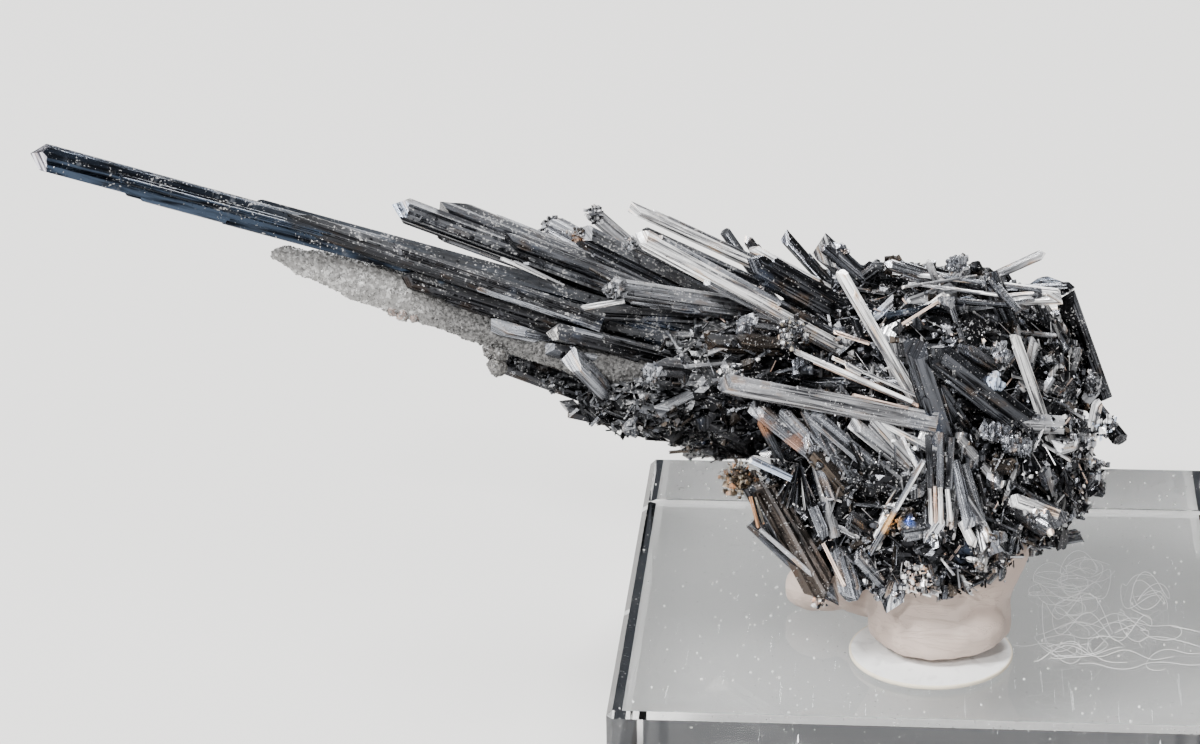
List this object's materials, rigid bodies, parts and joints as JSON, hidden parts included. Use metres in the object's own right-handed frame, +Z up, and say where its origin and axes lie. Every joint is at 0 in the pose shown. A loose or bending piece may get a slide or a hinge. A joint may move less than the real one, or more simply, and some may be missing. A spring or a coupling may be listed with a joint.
{
  "type": "stibnite crystal spray",
  "caption": "Spray of fused steel-grey striated stibnite crystals with one long prism, held by putty on a clear square display block.",
  "frame": {"origin": "centre of the clear block's underside", "axes": "+Z up; +X along the spray towards its matted end, so the long prisms reach out over -X; +Y to the back, away from the broad crystal faces"},
  "size_m": [0.0972, 0.0508, 0.0563],
  "materials": {
    "stibnite": "metallic lead grey, striated along each crystal",
    "druse": "pale grey crust of tiny sparkling crystals",
    "putty": "dull pinkish beige, smooth pressed skin",
    "disc": "matt white",
    "clear_acrylic": "polished clear, lightly dusty",
    "lint": "fine pale fibres"
  },
  "bodies": {
    "root": {"stibnite_spray": "stibnite", "mounting_putty": "putty", "adhesive_disc": "disc", "acrylic_base": "clear_acrylic"}
  },
  "joints": []
}
